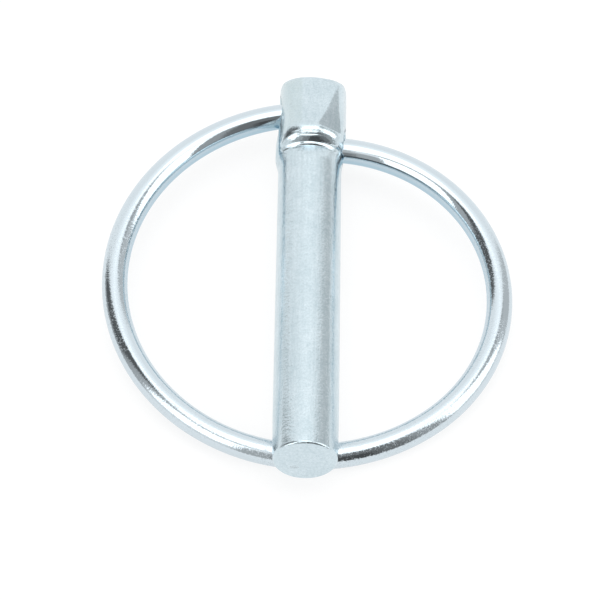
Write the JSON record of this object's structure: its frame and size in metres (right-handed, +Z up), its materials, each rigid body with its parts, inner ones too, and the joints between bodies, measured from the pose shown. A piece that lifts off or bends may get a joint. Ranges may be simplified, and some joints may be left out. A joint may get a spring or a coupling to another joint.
{
  "type": "lynch pin",
  "caption": "Plated steel lynch pin: a round pin for a cross hole, kept in place by a sprung wire ring that swings over its head and snaps shut across the tip.",
  "frame": {"origin": "on the ground, under the middle of the part's outline as it lies at rest", "axes": "+Z up; the pin's tip points towards -Y and its head towards +Y; +X is on the side of the ring hole that is farther from the head's end"},
  "size_m": [0.051, 0.0568, 0.0113],
  "materials": {
    "pin_zinc": "bright blue-white zinc plating over cold-formed steel, satin",
    "ring_zinc": "bright blue-white zinc plating over smooth spring wire, glossy"
  },
  "bodies": {
    "pin": {"pin": "pin_zinc"},
    "ring": {"ring": "ring_zinc"}
  },
  "joints": [
    {"name": "ring_swing", "type": "hinge", "parent": "pin", "child": "ring", "pos_m": [0, 0.02192, 0.00512], "axis": [1, 0, 0], "range_deg": [0, 345.9], "deforming": ["ring"]}
  ]
}
